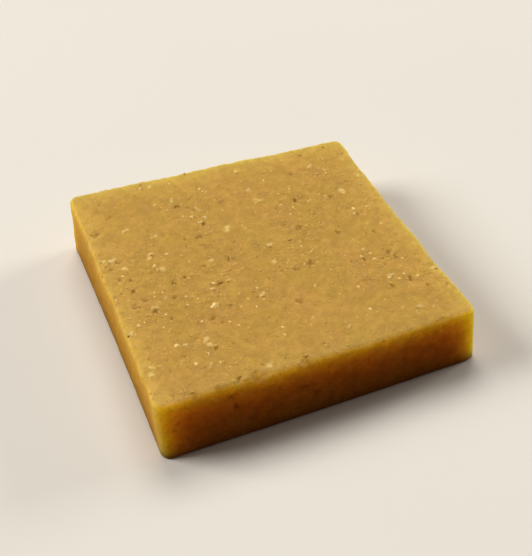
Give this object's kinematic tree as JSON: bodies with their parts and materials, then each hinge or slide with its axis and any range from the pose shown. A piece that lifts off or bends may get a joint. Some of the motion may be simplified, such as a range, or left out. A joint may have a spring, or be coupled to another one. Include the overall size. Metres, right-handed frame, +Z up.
{
  "type": "moong dal barfi piece",
  "caption": "Hand-cut square of moong dal barfi: a flat grainy golden-tan top, smoother amber cut sides, softly rounded edges and a flat base to rest on.",
  "frame": {"origin": "the middle of the bounding box of the piece, on the plane of its flat base", "axes": "+Z up out of the grainy top; +X along the front cut side, from its thicker end to its thinner end; +Y from the front cut side to the back one"},
  "size_m": [0.0464, 0.0456, 0.0103],
  "materials": {
    "barfi": "satin"
  },
  "bodies": {
    "root": {"barfi_piece": "barfi"}
  },
  "joints": []
}
